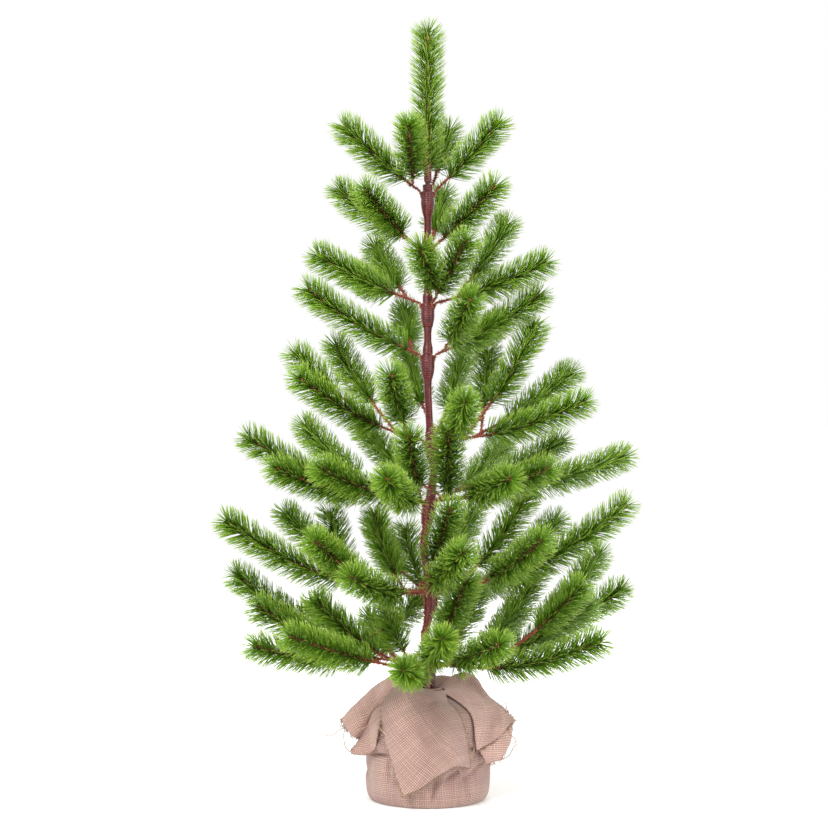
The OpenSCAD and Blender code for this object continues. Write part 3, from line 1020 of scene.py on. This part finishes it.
# Long threads that have come loose, as points (x, y, z) in millimetres
LOOSE_THREADS = [
    [(-96, -12, 84), (-103, -16, 80), (-110, -18, 75), (-118, -18, 75)],
    [(-96, -12, 84), (-97, -20, 74), (-95, -26, 64), (-90, -28, 58)],
    [(-54, -60, 104), (-62, -62, 98), (-74, -58, 90), (-84, -50, 84)],
    [(-50, -60, 96), (-58, -64, 96), (-52, -66, 88), (-46, -68, 84)],
    [(94, -26, 78), (99, -30, 74), (101, -30, 69), (96, -28, 68)],
    [(90, -10, 100), (91, -12, 107), (89, -12, 113)],
    [(86, -30, 50), (93, -30, 54), (99, -28, 64), (103, -26, 66)],
    [(48, -70, 54), (50, -72, 62), (52, -70, 70)],
    [(30, 66, 60), (36, 72, 52), (34, 76, 44)]
]
THIN_LIGHT = 1.3  # how much brighter the side corners are, for the light that real ones let through


def make_burlap():
    """The bag, its folded corners, and the fringe of thread ends and loose threads."""
    cloth = burlap_cloth("burlap_cloth", 1.0)
    # The side corners' cloth is a copy painted lighter by THIN_LIGHT: painted light shining through
    # them.
    painted_backlit_cloth = burlap_cloth("burlap_cloth_thin", THIN_LIGHT)
    make_wrap(cloth)
    rng = np.random.default_rng(21)
    fringe = Shape()
    for name, facts in FLAPS.items():
        # left and right corners take the cloth painted lighter, for light shining through them
        backlit = name.startswith(("left", "right"))
        make_flap(name, facts, painted_backlit_cloth if backlit else cloth, fringe, rng)
    for points in LOOSE_THREADS:
        line = curve(np.array(points) * MM, 30)
        add_tube(fringe, line, np.full(len(line), 0.5 * MM), 5, int(rng.integers(0, SHADES)))
    thread = strand_material(
        "jute_thread", [(0.0, (0.42, 0.27, 0.19)), (1.0, (0.55, 0.38, 0.27))],
        [(0.0, (0.6, 0.56, 0.52)), (1.0, (1, 1, 1))], 0.85
    )
    ends = piece("burlap_fringe", fringe.mesh("burlap_fringe"), thread, "trunk")


# ---------------------------------------------------------------- inside

def speckled(name, dark, light, scale, roughness):
    """A material mottled between two colours, with a fine bump."""
    made, tree, shader = new_material(name, roughness)
    place = add_node(tree, "TexCoord")
    noise = add_node(tree, "TexNoise")
    noise.inputs["Scale"].default_value = scale
    noise.inputs["Detail"].default_value = 6
    tree.links.new(place.outputs["Object"], noise.inputs["Vector"])
    colour = ramp(tree, noise.outputs["Fac"], [(0.35, dark), (0.65, light)])
    tree.links.new(colour, shader.inputs["Base Color"])
    bump = add_node(tree, "Bump")
    bump.inputs["Strength"].default_value = 0.3
    bump.inputs["Distance"].default_value = 0.3 * MM
    tree.links.new(noise.outputs["Fac"], bump.inputs["Height"])
    tree.links.new(bump.outputs["Normal"], shader.inputs["Normal"])
    return made


def finish_inside():
    """Gives the nodes that keep their shape from the frame a material each."""
    finishes = {
        "base_weight": speckled("cast_cement", (0.22, 0.21, 0.20), (0.42, 0.41, 0.39), 120, 0.9),
        "base_pot": speckled("pot_plastic", (0.03, 0.03, 0.03), (0.05, 0.05, 0.05), 300, 0.5),
        "neck_tie": speckled("jute_twine", (0.30, 0.20, 0.12), (0.55, 0.40, 0.26), 900, 0.85),
        "trunk_pole": speckled("steel_core", (0.09, 0.03, 0.03), (0.14, 0.05, 0.045), 200, 0.4),
    }
    for node, material in finishes.items():
        for slot in frame["nodes"][node].material_slots:
            slot.material = material


make_camera()
for light_facts in LIGHTS:
    soft_light(*light_facts)
make_world()
make_floor()
stem_plastic = wire_plastic()
make_branches(needle_plastic(), stem_plastic)
make_trunk(stem_plastic)
make_foot_strands()
make_burlap()
finish_inside()
